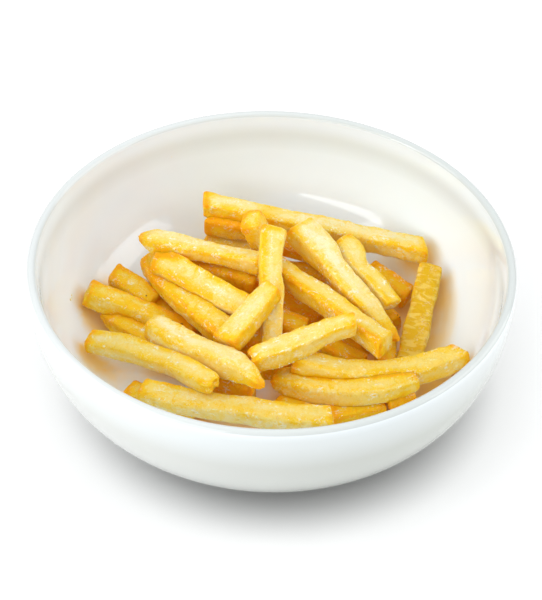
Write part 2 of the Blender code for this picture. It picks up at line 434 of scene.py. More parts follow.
@dataclass
class Bowl:
    """The round bowl, turned from its side rule. Sizes in millimetres, as in the solids."""

    rim_radius: float = 100.0
    height: float = 64.0
    side_length: float = 83.0
    rim_lean: float = math.radians(-2.2)
    side_curl: float = 1.45
    wall_at_rim: float = 5.0
    lip_depth: float = 10.0
    lip_thins: float = 0.30
    wall_at_base: float = 6.0
    foot_outer: float = 53.0
    foot_inner: float = 46.0
    foot_recess: float = 2.2
    side_steps: int = 52
    rim_steps: int = 14
    turns: int = 192
    lip_band: float = 1.5
    food_low: float = 26.0
    looks: int = 28

    def side(self) -> list[tuple[float, float, float]]:
        """The outside from the rim down.

        Returns:
            (radius, height, angle off the vertical) at each step.
        """
        points = []
        radius, height, angle = self.rim_radius, self.height, self.rim_lean
        fine = 4
        step = self.side_length / (self.side_steps * fine)
        for index in range(self.side_steps * fine + 1):
            if index % fine == 0:
                points.append((radius, height, angle))
            travelled = (index + 0.5) * step / self.side_length
            angle = self.rim_lean + (math.pi / 2 - self.rim_lean) * travelled**self.side_curl
            radius -= math.sin(angle) * step
            height -= math.cos(angle) * step
        return points

    def inside(self) -> list[tuple[float, float]]:
        """The inside from the rim down, as (radius, height)."""
        side = self.side()
        points = []
        for index, (radius, height, angle) in enumerate(side):
            wall = self.wall_at_rim + (self.wall_at_base - self.wall_at_rim) * index / (len(side) - 1)
            wall *= 1 - self.lip_thins * max(0.0, 1 - (self.height - height) / self.lip_depth) ** 2
            points.append((radius - math.cos(angle) * wall, height + math.sin(angle) * wall))
        return points

    def floor_at(self, radius: float) -> float:
        """Height of the inside at a radius, both in millimetres."""
        curve = self.inside()[::-1]
        if radius <= curve[0][0]:
            return curve[0][1]
        for (near, low), (far, high) in zip(curve, curve[1:]):
            if near <= radius <= far:
                return low + (high - low) * (radius - near) / (far - near)
        return self.height

    def profile(self) -> list[tuple[float, float]]:
        """Up the inside from the axis, over the rim, down the outside and under the foot.

        Returns:
            (radius, height) points that start and end on the axis.
        """
        inside = self.inside()
        low = inside[-1][1]
        flat = inside[-1][0]
        points = [(0.0, low)] + [(flat * share, low) for share in (0.2, 0.4, 0.6, 0.8)]
        bead = self.wall_at_rim * (1 - 0.7 * self.lip_thins) / 2
        points += [point for point in inside[:0:-1] if point[1] < self.height - bead]
        for step in range(self.rim_steps + 1):
            angle = math.pi * (1 - step / self.rim_steps)
            across = self.rim_radius - bead + bead * math.cos(angle)
            points.append((across, self.height - bead + bead * math.sin(angle)))
        outside = [(radius, height) for radius, height, _ in self.side()]
        points += [point for point in outside[1:] if point[1] < self.height - bead]
        for radius, height in ((0.9, 2.4), (0.6, 1.2), (0.1, 0.35), (-0.7, 0.0)):
            points.append((self.foot_outer + radius, height))
        for radius, height in ((0.9, 0.0), (0.2, 0.4), (-0.5, 1.4), (-1.4, self.foot_recess)):
            points.append((self.foot_inner + radius, height))
        points += [(self.foot_inner * share, self.foot_recess) for share in (0.6, 0.3)]
        return points + [(0.0, self.foot_recess)]

    def build(self, finish: Glaze) -> bpy.types.Object:
        """Turn the profile and glaze it.

        Args:
            finish: The glaze.

        Returns:
            The bowl, without its food tint yet.
        """
        mesh = bpy.data.meshes.new("bowl_turned")
        points = [(radius * MM, 0.0, height * MM) for radius, height in self.profile()]
        mesh.from_pydata(points, [(index, index + 1) for index in range(len(points) - 1)], [])
        bowl = add_object("bowl_glazed", mesh, finish.make())
        screw = bowl.modifiers.new("Turn", "SCREW")
        screw.steps = self.turns
        screw.render_steps = self.turns
        screw.use_merge_vertices = True
        screw.merge_threshold = 0.000005
        bake_modifiers(bowl)
        bowl.data.shade_smooth()
        return bowl

    def tint(
        self, bowl: bpy.types.Object, heap: bpy.types.Object, close: float = 10.0, far: float = 26.0
    ) -> None:
        """Write how closely the food covers each point of the bowl as painted warm bounce light and shade,
        and which points are outside as a painted shade mask.

        Args:
            bowl: The glazed bowl.
            heap: The fries.
            close: How far the painted bounce and shade reaches up the side, in millimetres.
            far: How far it goes low in the bowl.
        """
        tree = BVHTree.FromObject(heap, bpy.context.evaluated_depsgraph_get())
        rng = random.Random(5)
        looks = scattered_ways(rng, self.looks)
        count = len(bowl.data.vertices)
        near, outside = np.zeros(count, dtype=np.float32), np.zeros(count, dtype=np.float32)
        for vertex in bowl.data.vertices:
            # Painted shade mask: full on the outside, at least 0.7 on the lip's top band.
            on_lip = vertex.co.z > (self.height - self.lip_band) * MM
            outside[vertex.index] = min(max(0.5 - vertex.normal.z * 3.0, 0.7 if on_lip else 0.0), 1.0)
            if tree.find_nearest(vertex.co, far * MM)[0] is None:
                continue
            start = vertex.co + vertex.normal * 0.3 * MM
            tight = wide = 0.0
            for look in looks:
                distance = tree.ray_cast(start, (look + vertex.normal).normalized(), far * MM)[3]
                if distance is not None:
                    tight += max(0.0, 1 - distance / (close * MM)) / len(looks)
                    wide += (1 - distance / (far * MM)) ** 1.5 / len(looks)
            # Painted bounce and shade: tight nooks count anywhere, the wider cover only low in the bowl.
            low = min(max((self.food_low - vertex.co.z / MM) / 8, 0.0), 1.0)
            near[vertex.index] = min(max((tight - 0.05) / 0.35, low * (wide - 0.09) / 0.23, 0.0), 1.0)
        bowl.data.attributes.new("painted_food_bounce", "FLOAT", "POINT").data.foreach_set("value", near)
        bowl.data.attributes.new("outside", "FLOAT", "POINT").data.foreach_set("value", outside)


# ---------------------------------------------------------------- fries


class End(Enum):
    """How a fry ends."""

    CUT = "cut"
    TORN = "torn"
    TIP = "tip"


@dataclass(frozen=True)
class Fry:
    """One fry, in millimetres: the middles of its two ends, its section, bend, ends and colour.

    Swell and waver are evenly spaced along it: its size, and how far it strays sideways.
    Faces darkens the right, top, left and bottom face.
    """

    start: tuple
    end: tuple
    width: float
    thickness: float
    bow: float = 0.0
    sag: float = 0.0
    blunt: tuple = (1.0, 1.0)
    point: tuple = (0.0, 0.0)
    roll: float = 0.0
    tone: float = 0.35
    ends: tuple = (End.CUT, End.CUT)
    slant: tuple = (0.0, 0.0)
    swell: tuple = (1.0,)
    waver: tuple = (0.0,)
    rough: float = 0.25
    faces: tuple = (0.0, 0.0, 0.0, 0.0)


LEFT_FAN = (
    Fry((-58, -32, 15.5), (-30, -42, 14), 9, 8.5, tone=0.3, rough=0.4),
    Fry((-73, 12, 19.5), (-35, -12, 14), 8.5, 8, tone=0.35, point=(0.2, 0), ends=(End.TORN, End.CUT),
        rough=0.8, swell=(1, 1.05, 1, 0.95)),
    Fry((-79, 17, 26), (-32, 3, 16), 9.5, 8.5, tone=0.42, roll=8, swell=(1, 1.05, 1, 0.97, 1), rough=0.15),
    Fry((-69, 31, 24), (-50, 19, 19), 9.5, 8.5, tone=0.5, roll=-6, rough=0.15, swell=(0.92, 1.05, 1.0)),
    Fry((-76, -8.5, 21.5), (-22, -43.5, 32), 8.6, 7.4, bow=-4, tone=0.08, ends=(End.CUT, End.TORN), rough=0.5,
        swell=(1, 1.08, 1, 1.02, 0.9), roll=-10),
    Fry((-53.5, 40.5, 25.5), (-18, -8, 27.5), 12, 9, bow=2.5, tone=0.42, swell=(0.9, 1.05, 1, 1.05),
        rough=0.35, slant=(0.2, 0)),
    Fry((-49.5, 31.5, 33), (-9, 2, 32), 11.5, 8.5, tone=0.1, roll=-30, slant=(0.35, 0), rough=0.35,
        swell=(1.08, 1.04, 0.94, 0.9), faces=(0, 0, 0.7, 0)),
    Fry((-50, -6, 30), (-1, -44, 34), 10.5, 8.5, point=(0, 0.3), tone=-0.1, ends=(End.CUT, End.TIP),
        rough=0.2, swell=(0.95, 1.05, 1, 1.12, 1.2), waver=(0, 0.8, 0, -1.2, 1.6), roll=6,
        faces=(0.45, -0.1, 0, 0)),
    Fry((-58, 38, 40), (-4, 28, 36), 8.8, 7, point=(0.13, 0), tone=-0.05, ends=(End.TIP, End.CUT), rough=0.35,
        swell=(1.15, 1.16, 1.0, 0.98, 1.05), waver=(-0.6, 0.3, 0, 0.4, 0), roll=5),
    Fry((-37, 35, 29), (-7, 26, 27), 9.5, 8, tone=0.8, rough=0.15),
)
FRONT = (
    Fry((-52, -38, 23), (26, -51.5, 22.5), 10, 8.5, bow=3, tone=0.1, rough=0.45,
        swell=(0.92, 1.04, 0.98, 1.03, 1, 0.97), waver=(0, 0.5, -0.4, 0.3, 0)),
    Fry((-22, -27, 16), (-6, -30, 14), 9, 8, tone=0.85),
    Fry((-29, -25, 24), (-6, -35, 22), 9, 8, tone=0.8),
    Fry((3, -36, 14), (20, -42, 14), 9, 8, tone=0.65),
    Fry((25, -42, 14), (48, -34, 14), 9, 8, tone=0.65),
    Fry((49, -35, 16.5), (59, -30, 17.5), 8, 8, tone=0.8),
    Fry((2, -25, 20), (61, -29, 24), 10, 8.5, bow=7, sag=-1, tone=0.15, ends=(End.TORN, End.CUT), rough=0.35,
        swell=(0.95, 1.08, 1.0, 1.0, 0.95, 0.66), roll=6),
    Fry((10, -23, 28), (80, -14, 25.5), 10, 9, bow=6, sag=-5, tone=0.15, slant=(0, 0.5), rough=0.3,
        swell=(0.95, 1.0, 1, 1.05, 1.0, 0.82)),
)
CENTRE = (
    Fry((-1, 38, 46.5), (1, -16, 25), 9.6, 8, tone=0.1, rough=0.15, swell=(1.2, 1.0, 1.0, 1.0, 0.98, 1.0),
        waver=(-1.6, 0.2, 0, 0, 0)),
    Fry((1, 5, 42), (-18, -21, 34), 10.6, 8.5, tone=0.1, roll=-14, swell=(0.95, 1.05, 1.08, 1.12), rough=0.2,
        faces=(0, -0.2, 0.5, 0)),
    Fry((-8, -29, 33), (35, -13, 40.5), 10, 9, tone=0.12, rough=0.4, ends=(End.TORN, End.CUT),
        swell=(0.95, 1.02, 1.0, 0.86, 0.8), waver=(0, 0.6, 0, -0.8, 0.3)),
    Fry((0, 34, 31), (48, -16, 31), 10.5, 8.5, tone=0.15, rough=0.75, swell=(0.8, 0.95, 1.05, 1.0, 1.14),
        waver=(0, 0.8, -0.5, 0.3, 0), roll=8, faces=(0.4, 0, 0, 0)),
    Fry((-1, 26, 16), (21, 17, 14), 10, 8.5, tone=0.95),
    Fry((0, 8, 22), (15, 2, 20), 10, 8.5, tone=0.85),
    Fry((20, -2, 20), (39, -13, 16), 10, 8.5, tone=0.8),
)
BACK = (
    Fry((-31, 66, 36), (67, 48, 27.5), 9.7, 9.4, tone=-0.05, slant=(0.15, 0.25), rough=0.25,
        faces=(0.4, -0.1, 0, 0), swell=(0.94, 1.0, 0.98, 1.03, 1.0, 1.04), waver=(0, 0.5, 0.6, 0.2, 0)),
    Fry((-27, 62, 29), (0, 58, 29), 10, 10, tone=0.3, slant=(-0.9, 0)),
    Fry((-31, 59, 19), (-5, 53, 18), 9, 8, tone=0.35, rough=0.8),
    Fry((-10, 48, 44), (-2, 46, 29), 10.5, 8.5, tone=0.2, rough=0.4),
    Fry((5, 51, 27), (25, 45, 24), 9, 8, tone=0.65),
    Fry((5, 43, 19), (24, 39, 17.5), 8, 8, tone=0.5),
)
RIGHT = (
    Fry((11, 48, 40), (54, -6, 24), 10.5, 8.5, blunt=(1.12, 0.8), point=(0, 0.3), tone=-0.3, rough=0.1,
        ends=(End.CUT, End.TORN), swell=(1.05, 1.1, 0.95, 1.0, 1.02, 0.95), roll=-8,
        waver=(0.3, -0.6, 0.5, 0, 0), faces=(0.6, 0, 0, 0)),
    Fry((29, 44.5, 34.5), (52, 13, 27), 10.2, 8.5, tone=0.0, rough=0.4, ends=(End.CUT, End.CUT), roll=8,
        swell=(0.95, 1.08, 0.86, 0.9, 0.86, 0.8), waver=(-0.4, -0.4, 1.2, 0.2, 0.3, 0.2)),
    Fry((42, 42, 21), (60, 29, 17), 9, 8, tone=0.85, rough=0.4),
    Fry((42, 27, 16), (53, 13, 15), 9, 8, tone=0.8, rough=0.3),
    Fry((69, 38, 26), (58, -14, 15), 10.5, 8.5, tone=0.6, rough=1.0,
        swell=(0.9, 1.05, 0.97, 1.03, 0.98, 1.0)),
)
UNDERNEATH = (
    Fry((-42, 30, 15), (-4, 22, 14), 9, 8.5, tone=0.9),
    Fry((-27, 14, 14), (9, -10, 14), 9, 8.5, tone=0.9),
    Fry((20, 34, 15), (45, 4, 14), 9, 8.5, tone=0.9),
    Fry((-18, 44, 15), (14, 34, 14), 9, 8.5, tone=0.9),
    Fry((48, 13, 15), (50, -13, 14), 9, 8.5, tone=0.9),
    Fry((-51, 24, 15), (-33, -6, 14), 9, 8.5, tone=0.8),
)
ALL_FRIES = LEFT_FAN + FRONT + CENTRE + BACK + RIGHT + UNDERNEATH


def run_through(values: tuple, share: np.ndarray) -> np.ndarray:
    """A smooth curve through evenly spaced values, read at places from 0 to 1."""
    if len(values) == 1:
        return np.full(np.shape(share), float(values[0]))
    known = np.array((2 * values[0] - values[1],) + tuple(values) + (2 * values[-1] - values[-2],), float)
    place = np.clip(share, 0, 1) * (len(values) - 1)
    index = np.minimum(place.astype(int), len(values) - 2)
    part = place - index
    a, b, c, d = (known[index + step] for step in range(4))
    bend = (2 * a - 5 * b + 4 * c - d) * part**2 + (3 * b - a - 3 * c + d) * part**3
    return b + 0.5 * ((c - a) * part + bend)


def lumps(points: np.ndarray, size: float, seed: float) -> np.ndarray:
    """Smooth noise between -1 and 1 at many points.

    Args:
        points: Places in millimetres, one a row.
        size: Size of the lumps in millimetres.
        seed: Moves the pattern.

    Returns:
        One value a point.
    """
    scaled = points / size + seed
    return np.array([noise.noise(Vector(place)) for place in scaled])


@dataclass
class FryMaker:
    """Cuts, bends and roughens one fry."""

    around: int = 36
    spacing: float = 1.15
    corner: float = 5.4
    nose: float = 1.3

    def stations(self, length: float) -> np.ndarray:
        """Places along the fry, closer together at both ends, in millimetres."""
        near = [0.0, 0.15, 0.45, 0.9, 1.5, 2.3]
        count = max(4, round((length - 2 * near[-1]) / self.spacing))
        middle = np.linspace(near[-1], length - near[-1], count + 1)[1:-1]
        return np.array(near + list(middle) + [length - value for value in reversed(near)])

    def section(self, rng: random.Random) -> np.ndarray:
        """A rounded square with its own corners, as (across, up) from -1 to 1."""
        phase = rng.uniform(0, 2 * math.pi)
        skew = rng.uniform(-0.10, 0.10)
        points = []
        for index in range(self.around):
            quarter, place = divmod(4 * (index + 0.5) / self.around, 1.0)
            off = 2 * place - 1
            angle = math.pi / 2 * (quarter + 0.5 + 0.5 * math.copysign(abs(off) ** 1.45, off))
            power = self.corner + 1.3 * math.sin(angle + phase) + 0.8 * math.sin(2 * angle + 1.7 * phase)
            reach = (abs(math.cos(angle)) ** power + abs(math.sin(angle)) ** power) ** (-1 / power)
            across, upward = reach * math.cos(angle), reach * math.sin(angle)
            points.append((across + skew * upward, upward * (1 + 0.05 * across * math.sin(phase))))
        return np.array(points)

    def middle_line(self, fry: Fry, share: np.ndarray) -> tuple:
        """The bent middle line with its directions.

        Args:
            fry: The fry.
            share: Places along it from 0 to 1.

        Returns:
            Middles, forward, across and up directions, one a row.
        """
        start = np.array(fry.start, float)
        run = np.array(fry.end, float) - start
        side = np.cross(run, (0, 0, 1.0))
        side /= np.linalg.norm(side)
        bend = side * fry.bow + np.array((0, 0, fry.sag))

        def place(where: np.ndarray) -> np.ndarray:
            stray = np.outer(run_through(fry.waver, where), side)
            return start + np.outer(where, run) + np.outer(4 * where * (1 - where), bend) + stray

        middles = place(share)
        near = np.clip(share, 0.01, 0.99)
        forward = place(near + 0.01) - place(near - 0.01)
        forward /= np.linalg.norm(forward, axis=1)[:, None]
        across = np.cross(forward, (0, 0, 1.0))
        across /= np.linalg.norm(across, axis=1)[:, None]
        upward = np.cross(across, forward)
        turn = np.radians(fry.roll)
        turned_across = across * np.cos(turn) + upward * np.sin(turn)
        turned_up = upward * np.cos(turn) - across * np.sin(turn)
        return middles, forward, turned_across, turned_up

    def sizes(self, fry: Fry, along: np.ndarray, length: float, seed: float) -> tuple:
        """Half width and half thickness at each station, in millimetres."""
        share = along / length
        size = (fry.blunt[0] + (fry.blunt[1] - fry.blunt[0]) * share) * run_through(fry.swell, share)
        for reach, run, kind in zip(fry.point, (share, 1 - share), fry.ends):
            if reach > 0:
                least = 0.12 if kind is End.TIP else 0.3
                size = size * np.minimum(1.0, least + (1 - least) * (run / reach) ** 0.8)
        line = np.stack([along, along * 0, along * 0], 1)
        wide = fry.width / 2 * size * (1.01 + 0.09 * lumps(line, 17, seed))
        high = fry.thickness / 2 * size * (1.01 + 0.10 * lumps(line, 14, seed + 40))
        for run in (along, length - along):
            gone = np.clip(1 - run / self.nose, 0, 1)
            inset = self.nose * 0.75 * (1 - np.sqrt(1 - gone**2))
            wide = wide - np.minimum(inset, wide * 0.6)
            high = high - np.minimum(inset, high * 0.6)
        return wide, high

    def make(self, fry: Fry, index: int) -> tuple:
        """Build one fry. Its faces point inwards.

        Args:
            fry: Its layout.
            index: Its number, which seeds its shape.

        Returns:
            Points in metres, quads and triangles, grain places in metres and skin colours.
        """
        rng = random.Random(7100 + index)
        seed = rng.uniform(10, 900)
        length = float(np.linalg.norm(np.array(fry.end) - np.array(fry.start)))
        along = self.stations(length)
        middles, forward, across, upward = self.middle_line(fry, along / length)
        wide, high = self.sizes(fry, along, length, seed)
        section = self.section(rng)
        rings = len(along)
        flat = np.zeros((rings, self.around, 3))
        flat[..., 0] = along[:, None]
        flat[..., 1] = section[None, :, 0] * wide[:, None]
        flat[..., 2] = section[None, :, 1] * high[:, None]

        caps = []
        for first, kind in ((True, fry.ends[0]), (False, fry.ends[1])):
            rim = flat[0] if first else flat[-1]
            for share in (0.86, 0.66, 0.42, 0.18):
                ring = rim.copy()
                ring[:, 1:] *= share
                bulge = 0.35 * (1 - share * share)
                ring[:, 0] += -bulge if first else bulge
                caps.append(ring)
        flat = np.concatenate([np.array(caps[3::-1]), flat, np.array(caps[4:])])
        rings = len(flat)
        poles = np.array([[flat[0, :, 0].mean() - 0.02, 0, 0], [flat[-1, :, 0].mean() + 0.02, 0, 0]])

        local = np.concatenate([flat.reshape(-1, 3), poles])
        shape = self.roughen(fry, local, length, rng, seed)
        share = np.clip(shape[:, 0] / length, -0.1, 1.1)
        centre, _, sideways, up = self.middle_line(fry, share)
        placed = centre + sideways * shape[:, 1:2] + up * shape[:, 2:3]

        faces = []
        for ring in range(rings - 1):
            for step in range(self.around):
                a = ring * self.around + step
                b = ring * self.around + (step + 1) % self.around
                faces.append((a, b, b + self.around, a + self.around))
        first, last = rings * self.around, rings * self.around + 1
        for step in range(self.around):
            following = (step + 1) % self.around
            faces.append((first, following, step))
            base = (rings - 1) * self.around
            faces.append((last, base + step, base + following))

        grain = shape * MM + np.array((index * 0.37, index * 0.11, 0.0))
        skin = self.skin(fry, local, section, length, rings, rng)
        return placed * MM, faces, grain, skin

    def roughen(
        self, fry: Fry, local: np.ndarray, length: float, rng: random.Random, seed: float
    ) -> np.ndarray:
        """Slant or tear the ends and raise the skin unevenly.

        Args:
            fry: The fry.
            local: Points as (along, across, up), millimetres.
            length: The fry's length.
            rng: Its random source.
            seed: Its noise seed.

        Returns:
            The moved points.
        """
        shape = local.copy()
        outward = local * (0, 1, 1)
        reach = np.linalg.norm(outward, axis=1)
        outward = outward / np.maximum(reach, 1e-6)[:, None]
        hold = np.clip(reach / 2.5, 0, 1)
        raised = 0.50 * lumps(local, 9.0, seed) + 0.40 * lumps(local, 3.8, seed + 5)
        raised += 0.30 * lumps(local, 1.7, seed + 9)
        shape += outward * (raised * hold)[:, None]
        for first, kind, slant in zip((True, False), fry.ends, fry.slant):
            run = local[:, 0] if first else length - local[:, 0]
            near = np.clip(1 - run / 7.0, 0, 1) ** 1.5
            sign = 1.0 if first else -1.0
            lean = slant + rng.uniform(-0.22, 0.22)
            tip = rng.uniform(-0.22, 0.22)
            shape[:, 0] += near * (lean * local[:, 1] + tip * local[:, 2])
            uneven = 0.25 if kind is End.CUT else 1.5
            coarse = lumps(local * (0.25, 1, 1), 2.6, seed + 21)
            bite = coarse * 0.6 + lumps(local * (0.4, 1, 1), 1.3, seed + 33) * 0.4
            if kind is End.TORN:
                shape[:, 0] += sign * near * (2.6 * bite + 0.6)
                thin = np.clip(1 - run / 4.5, 0, 1)
                shape[:, 2] *= 1 - 0.45 * thin * (0.6 + 0.4 * bite)
            else:
                shape[:, 0] += sign * near * uneven * bite
        return shape

    def skin(
        self, fry: Fry, local: np.ndarray, section: np.ndarray, length: float, rings: int, rng: random.Random
    ) -> np.ndarray:
        """Tone, edge and end of each point, as a colour. Each of the four faces has a tone of its own.

        Args:
            fry: The fry.
            local: Points before roughening.
            section: The section's outline.
            length: The fry's length.
            rings: Number of rings, caps included.
            rng: Its random source.

        Returns:
            One RGBA row a point.
        """
        corner = np.minimum(np.abs(section[:, 0]), np.abs(section[:, 1]))
        corner = np.clip(corner / 0.88, 0, 1) ** 2.4
        edge = np.concatenate([np.tile(corner, rings), [0.0, 0.0]])
        run = np.minimum(local[:, 0], length - local[:, 0])
        end = np.exp(-np.clip(run, 0, None) / 2.2)
        lean = np.abs(section) ** 3
        lean /= lean.sum(axis=1)[:, None]
        own = np.array([rng.uniform(-0.22, 0.22) for _ in range(4)]) + np.array(fry.faces)
        across = np.where(section[:, 0] > 0, own[0], own[2])
        upward = np.where(section[:, 1] > 0, own[1] * 0.5, own[3])
        of_faces = lean[:, 0] * across + lean[:, 1] * upward
        tone = fry.tone + np.concatenate([np.tile(of_faces, rings), [0.0, 0.0]])
        return np.stack([tone, edge, end, np.full(len(local), fry.rough)], 1)


class Heap:
    """All the fries as one mesh piece."""

    def __init__(self, fries: tuple, maker: FryMaker) -> None:
        """Keep the layout.

        Args:
            fries: Every fry.
            maker: What cuts them.
        """
        self.fries = fries
        self.maker = maker

    def build(self, finish: FriedSkin) -> bpy.types.Object:
        """Make every fry and join them in one mesh.

        Args:
            finish: The fries' skin.

        Returns:
            The piece.
        """
        points, faces, grains, skins = [], [], [], []
        offset = 0
        for index, fry in enumerate(self.fries):
            placed, made, grain, skin = self.maker.make(fry, index)
            points.append(placed)
            faces += [tuple(corner + offset for corner in face) for face in made]
            grains.append(grain)
            skins.append(skin)
            offset += len(placed)
        mesh = bpy.data.meshes.new("fries_cut")
        mesh.from_pydata(np.concatenate(points).tolist(), [], faces)
        grain = mesh.attributes.new("grain", "FLOAT_VECTOR", "POINT")
        grain.data.foreach_set("vector", np.concatenate(grains).astype(np.float32).ravel())
        skin = mesh.attributes.new("skin", "FLOAT_COLOR", "POINT")
        skin.data.foreach_set("color", np.concatenate(skins).astype(np.float32).ravel())
        mesh.update()
        mesh.shade_smooth()
        inward = np.zeros(len(mesh.vertices) * 3, dtype=np.float32)
        mesh.vertices.foreach_get("normal", inward)
        # Painted shade by facing. The normals point inwards here, so it is full where the skin looks up or
        # sideways and none where it looks down.
        facing_shade = np.clip((0.80 - inward[2::3]) / 0.70, 0, 1)
        mesh.attributes.new("facing_shade", "FLOAT", "POINT").data.foreach_set("value", facing_shade * facing_shade * (3 - 2 * facing_shade))
        mesh.attributes.new("nook_shade", "FLOAT", "POINT").data.foreach_set("value", self.nook_shades(mesh))
        return add_object("fries_loose", mesh, finish.make())

    def nook_shades(self, mesh: bpy.types.Mesh, reach: float = 6.0, looks: int = 12) -> np.ndarray:
        """How near a surface lies behind each point, looking into the fry: high at corners and in overlaps.
        It is painted shade: the skin goes deeper amber where it is high.

        Args:
            mesh: The fries.
            reach: How far to look, in millimetres.
            looks: How many ways to look.

        Returns:
            One value a point.
        """
        tree = BVHTree.FromPolygons([v.co for v in mesh.vertices], [f.vertices for f in mesh.polygons])
        rng = random.Random(9)
        ways = scattered_ways(rng, looks)
        covered = np.zeros(len(mesh.vertices), dtype=np.float32)
        for vertex in mesh.vertices:
            start = vertex.co + vertex.normal * 0.4 * MM
            for way in ways:
                distance = tree.ray_cast(start, vertex.normal + way, reach * MM)[3]
                if distance is not None:
                    covered[vertex.index] += 1 - distance / (reach * MM)
        return np.clip(covered / looks * 1.3, 0, 1)


@dataclass(frozen=True)
class Scatter:
    """Loose grains on the fries, as one piece. Sizes in millimetres, density a square metre.

    Least rise is for the ground's normals. The fries' point inwards, so the grains go underneath.
    """

    name: str
    density: float
    least: float
    most: float
    seed: int
    flat: float = 0.6
    edge_share: float = 0.0
    least_rise: float = 0.15

    def nodes(self, material: bpy.types.Material) -> bpy.types.NodeTree:
        """Build the scattering.

        Args:
            material: The grains' finish.

        Returns:
            A group with named inputs for density, sizes, flatness, edges, rise and seed.
        """
        group = bpy.data.node_groups.new("scatter_" + self.name, "GeometryNodeTree")
        face = group.interface
        face.new_socket("Geometry", in_out="INPUT", socket_type="NodeSocketGeometry")
        for name, value in self.inputs().items():
            kind = "NodeSocketInt" if name == "Seed" else "NodeSocketFloat"
            face.new_socket(name, in_out="INPUT", socket_type=kind).default_value = value
        face.new_socket("Geometry", in_out="OUTPUT", socket_type="NodeSocketGeometry")
        new, link = group.nodes.new, group.links.new
        start, end = new("NodeGroupInput"), new("NodeGroupOutput")

        def math_node(operation: str, first, second) -> bpy.types.NodeSocket:
            made = new("ShaderNodeMath")
            made.operation = operation
            for socket, value in zip(made.inputs, (first, second)):
                if isinstance(value, bpy.types.NodeSocket):
                    link(value, socket)
                else:
                    socket.default_value = value
            return made.outputs[0]

        def random_value(kind: str, low, high, salt: int) -> bpy.types.NodeSocket:
            made = new("FunctionNodeRandomValue")
            made.data_type = kind
            inputs = [socket for socket in made.inputs if socket.enabled]
            for socket, value in zip(inputs, (low, high)):
                if isinstance(value, bpy.types.NodeSocket):
                    link(value, socket)
                else:
                    socket.default_value = value
            link(math_node("ADD", start.outputs["Seed"], salt), made.inputs["Seed"])
            return next(socket for socket in made.outputs if socket.enabled)

        normal, parts = new("GeometryNodeInputNormal"), new("ShaderNodeSeparateXYZ")
        link(normal.outputs[0], parts.inputs[0])
        upward = math_node("GREATER_THAN", parts.outputs["Z"], start.outputs["Least Rise"])
        skin, colours = new("GeometryNodeInputNamedAttribute"), new("FunctionNodeSeparateColor")
        skin.data_type = "FLOAT_COLOR"
        skin.inputs["Name"].default_value = "skin"
        link(skin.outputs["Attribute"], colours.inputs[0])
        raised = math_node("POWER", colours.outputs["Green"], 3.0)
        flat_part = math_node("SUBTRACT", 1.0, start.outputs["Edge Share"])
        where = math_node("ADD", math_node("MULTIPLY", raised, start.outputs["Edge Share"]), flat_part)
        amount = math_node("MULTIPLY", math_node("MULTIPLY", where, upward), start.outputs["Density"])

        points = new("GeometryNodeDistributePointsOnFaces")
        link(start.outputs["Geometry"], points.inputs["Mesh"])
        link(amount, points.inputs["Density"])
        link(start.outputs["Seed"], points.inputs["Seed"])

        ball = new("GeometryNodeMeshIcoSphere")
        ball.inputs["Radius"].default_value = 0.5 * MM  # a grain of size 1 is 1 mm across
        ball.inputs["Subdivisions"].default_value = 1
        size = random_value("FLOAT", start.outputs["Least"], start.outputs["Most"], 3)
        shape = new("ShaderNodeCombineXYZ")
        link(math_node("MULTIPLY", size, random_value("FLOAT", 0.8, 1.25, 5)), shape.inputs["X"])
        link(math_node("MULTIPLY", size, random_value("FLOAT", 0.6, 1.05, 7)), shape.inputs["Y"])
        link(math_node("MULTIPLY", size, start.outputs["Flatness"]), shape.inputs["Z"])
        placed = new("GeometryNodeInstanceOnPoints")
        link(points.outputs["Points"], placed.inputs["Points"])
        link(ball.outputs["Mesh"], placed.inputs["Instance"])
        link(points.outputs["Rotation"], placed.inputs["Rotation"])
        link(shape.outputs[0], placed.inputs["Scale"])
        turned = new("GeometryNodeRotateInstances")
        link(placed.outputs[0], turned.inputs["Instances"])
        link(random_value("FLOAT_VECTOR", (-0.4, -0.4, -3.1), (0.4, 0.4, 3.1), 11), turned.inputs["Rotation"])
        real = new("GeometryNodeRealizeInstances")
        link(turned.outputs[0], real.inputs[0])

        place, bumpy = new("GeometryNodeInputPosition"), new("ShaderNodeTexNoise")
        bumpy.inputs["Scale"].default_value = 1 / (0.45 * MM)
        link(place.outputs[0], bumpy.inputs["Vector"])
        centred, scaled = new("ShaderNodeVectorMath"), new("ShaderNodeVectorMath")
        centred.operation, scaled.operation = "SUBTRACT", "SCALE"
        link(bumpy.outputs["Color"], centred.inputs[0])
        centred.inputs[1].default_value = (0.5, 0.5, 0.5)
        link(centred.outputs[0], scaled.inputs[0])
        scaled.inputs["Scale"].default_value = 0.55 * MM
        moved = new("GeometryNodeSetPosition")
        link(real.outputs[0], moved.inputs["Geometry"])
        link(scaled.outputs[0], moved.inputs["Offset"])
        dressed = new("GeometryNodeSetMaterial")
        dressed.inputs["Material"].default_value = material
        link(moved.outputs[0], dressed.inputs["Geometry"])
        link(dressed.outputs[0], end.inputs[0])
        return group

    def inputs(self) -> dict:
        """The group's inputs by name."""
        return {
            "Density": self.density,
            "Least": self.least,
            "Most": self.most,
            "Flatness": self.flat,
            "Edge Share": self.edge_share,
            "Least Rise": self.least_rise,
            "Seed": self.seed,
        }

    def build(self, ground: bpy.types.Object, material: bpy.types.Material) -> bpy.types.Object:
        """Scatter the grains over a piece.

        Args:
            ground: What they lie on; its skin attribute says where its edges are.
            material: Their finish.

        Returns:
            The grains as one mesh object.
        """
        grains = add_object(self.name, ground.data.copy(), material)
        scatter = grains.modifiers.new("Scatter", "NODES")
        scatter.node_group = self.nodes(material)
        for socket in scatter.node_group.interface.items_tree:
            if socket.in_out == "INPUT" and socket.name in self.inputs():
                scatter[socket.identifier] = self.inputs()[socket.name]
        bake_modifiers(grains)
        grains.data.shade_smooth()
        return grains


